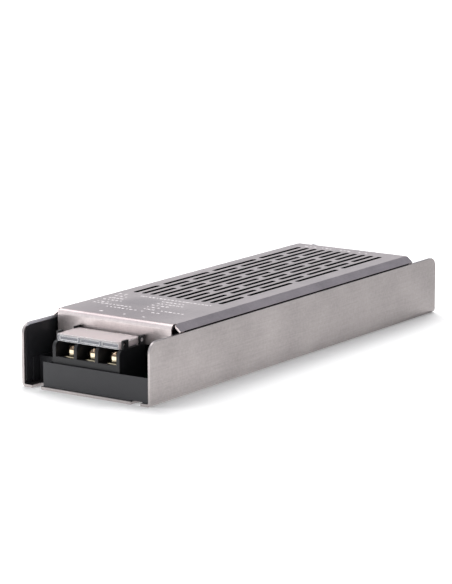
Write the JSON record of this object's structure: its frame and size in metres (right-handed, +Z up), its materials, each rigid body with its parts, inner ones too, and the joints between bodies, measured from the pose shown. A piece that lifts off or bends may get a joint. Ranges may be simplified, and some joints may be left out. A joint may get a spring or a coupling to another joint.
{
  "type": "slim power supply",
  "caption": "Slim enclosed power supply: folded steel case with a slotted cover, barrier terminals under hinged clear lids at both ends, and notches for fixing.",
  "frame": {"origin": "middle of the underside", "axes": "+X along the case from the input terminals to the output terminals, +Z up"},
  "size_m": [0.198, 0.0574, 0.0262],
  "materials": {
    "case_steel": "fine brushed mill finish",
    "film": "thin black insulating film, satin",
    "block_plastic": "black moulded plastic, satin",
    "clear_plastic": "clear moulded plastic",
    "nickel": "nickel plate",
    "contact_metal": "tinned brass",
    "board": "glass-epoxy board with green mask",
    "zinc": "zinc-plated steel",
    "aluminium": "extruded, mill finish",
    "device_plastic": "black moulding compound",
    "disc_coating": "blue dipped coating",
    "fuse_glass": "glass tube with plated caps",
    "capacitor_box": "yellow moulded box",
    "capacitor_sleeve": "dark shrink sleeve on a can",
    "ferrite": "pressed and fired ferrite",
    "bobbin_plastic": "black moulded bobbin",
    "tape": "yellow polyester tape",
    "copper_wire": "enamelled copper wire"
  },
  "bodies": {
    "root": {"board_screws": "zinc", "bulk_capacitor_1": "capacitor_sleeve", "bulk_capacitor_2": "capacitor_sleeve", "chassis": "case_steel", "circuit_board": "board", "control_chip": "device_plastic", "cover": "case_steel", "cover_bracket_1": "case_steel", "cover_bracket_2": "case_steel", "cover_bracket_3": "case_steel", "cover_bracket_4": "case_steel", "device_screws": "zinc", "fuse": "fuse_glass", "fuse_clips": "zinc", "heat_bar": "aluminium", "input_contacts": "contact_metal", "input_terminal_block": "block_plastic", "insulation_tray": "film", "line_choke_coils": "copper_wire", "line_choke_core": "ferrite", "optocoupler": "device_plastic", "output_capacitor_1": "capacitor_sleeve", "output_capacitor_2": "capacitor_sleeve", "output_capacitor_3": "capacitor_sleeve", "output_capacitor_4": "capacitor_sleeve", "output_choke_coil": "copper_wire", "output_choke_core": "ferrite", "output_contacts": "contact_metal", "output_terminal_block": "block_plastic", "rectifier_bridge": "device_plastic", "rectifier_diode_1": "device_plastic", "rectifier_diode_2": "device_plastic", "side_lining_left": "film", "side_lining_right": "film", "suppression_capacitor": "capacitor_box", "switching_transistor_1": "device_plastic", "switching_transistor_2": "device_plastic", "thermistor": "device_plastic", "transformer_bobbin": "bobbin_plastic", "transformer_core": "ferrite", "transformer_winding": "tape", "varistor": "disc_coating", "wall_screws": "zinc"},
    "input_lid": {"input_lid": "clear_plastic"},
    "input_clamp_1": {"input_clamp_1": "nickel"},
    "input_screw_1": {"input_screw_1": "nickel"},
    "input_clamp_2": {"input_clamp_2": "nickel"},
    "input_screw_2": {"input_screw_2": "nickel"},
    "input_clamp_3": {"input_clamp_3": "nickel"},
    "input_screw_3": {"input_screw_3": "nickel"},
    "output_lid": {"output_lid": "clear_plastic"},
    "output_clamp_1": {"output_clamp_1": "nickel"},
    "output_screw_1": {"output_screw_1": "nickel"},
    "output_clamp_2": {"output_clamp_2": "nickel"},
    "output_screw_2": {"output_screw_2": "nickel"},
    "output_clamp_3": {"output_clamp_3": "nickel"},
    "output_screw_3": {"output_screw_3": "nickel"},
    "output_clamp_4": {"output_clamp_4": "nickel"},
    "output_screw_4": {"output_screw_4": "nickel"}
  },
  "joints": [
    {"name": "input_lid_hinge", "type": "hinge", "parent": "root", "child": "input_lid", "pos_m": [-0.084, 0.0008, 0.0199], "axis": [0, 1, 0], "range_deg": [0, 95]},
    {"name": "input_clamp_1_lift", "type": "slide", "parent": "root", "child": "input_clamp_1", "axis": [0, 0, 1], "range_m": [-0.0014, 0.0018]},
    {"name": "input_screw_1_turn", "type": "hinge", "parent": "input_clamp_1", "child": "input_screw_1", "pos_m": [-0.0912, -0.0087, 0.013], "axis": [0, 0, 1], "range_deg": [-840, 1080]},
    {"name": "input_clamp_2_lift", "type": "slide", "parent": "root", "child": "input_clamp_2", "axis": [0, 0, 1], "range_m": [-0.0014, 0.0018]},
    {"name": "input_screw_2_turn", "type": "hinge", "parent": "input_clamp_2", "child": "input_screw_2", "pos_m": [-0.0912, 0.0008, 0.013], "axis": [0, 0, 1], "range_deg": [-840, 1080]},
    {"name": "input_clamp_3_lift", "type": "slide", "parent": "root", "child": "input_clamp_3", "axis": [0, 0, 1], "range_m": [-0.0014, 0.0018]},
    {"name": "input_screw_3_turn", "type": "hinge", "parent": "input_clamp_3", "child": "input_screw_3", "pos_m": [-0.0912, 0.0103, 0.013], "axis": [0, 0, 1], "range_deg": [-840, 1080]},
    {"name": "output_lid_hinge", "type": "hinge", "parent": "root", "child": "output_lid", "pos_m": [0.084, 0.00554, 0.0199], "axis": [0, -1, 0], "range_deg": [0, 95]},
    {"name": "output_clamp_1_lift", "type": "slide", "parent": "root", "child": "output_clamp_1", "axis": [0, 0, 1], "range_m": [-0.0014, 0.0018]},
    {"name": "output_screw_1_turn", "type": "hinge", "parent": "output_clamp_1", "child": "output_screw_1", "pos_m": [0.0912, 0.01979, 0.013], "axis": [0, 0, 1], "range_deg": [-840, 1080]},
    {"name": "output_clamp_2_lift", "type": "slide", "parent": "root", "child": "output_clamp_2", "axis": [0, 0, 1], "range_m": [-0.0014, 0.0018]},
    {"name": "output_screw_2_turn", "type": "hinge", "parent": "output_clamp_2", "child": "output_screw_2", "pos_m": [0.0912, 0.01029, 0.013], "axis": [0, 0, 1], "range_deg": [-840, 1080]},
    {"name": "output_clamp_3_lift", "type": "slide", "parent": "root", "child": "output_clamp_3", "axis": [0, 0, 1], "range_m": [-0.0014, 0.0018]},
    {"name": "output_screw_3_turn", "type": "hinge", "parent": "output_clamp_3", "child": "output_screw_3", "pos_m": [0.0912, 0.00079, 0.013], "axis": [0, 0, 1], "range_deg": [-840, 1080]},
    {"name": "output_clamp_4_lift", "type": "slide", "parent": "root", "child": "output_clamp_4", "axis": [0, 0, 1], "range_m": [-0.0014, 0.0018]},
    {"name": "output_screw_4_turn", "type": "hinge", "parent": "output_clamp_4", "child": "output_screw_4", "pos_m": [0.0912, -0.00871, 0.013], "axis": [0, 0, 1], "range_deg": [-840, 1080]}
  ],
  "couplings": [
    {"joint": "input_screw_1_turn", "follows": "input_clamp_1_lift", "rad_per_m": 10472},
    {"joint": "input_screw_2_turn", "follows": "input_clamp_2_lift", "rad_per_m": 10472},
    {"joint": "input_screw_3_turn", "follows": "input_clamp_3_lift", "rad_per_m": 10472},
    {"joint": "output_screw_1_turn", "follows": "output_clamp_1_lift", "rad_per_m": 10472},
    {"joint": "output_screw_2_turn", "follows": "output_clamp_2_lift", "rad_per_m": 10472},
    {"joint": "output_screw_3_turn", "follows": "output_clamp_3_lift", "rad_per_m": 10472},
    {"joint": "output_screw_4_turn", "follows": "output_clamp_4_lift", "rad_per_m": 10472}
  ]
}
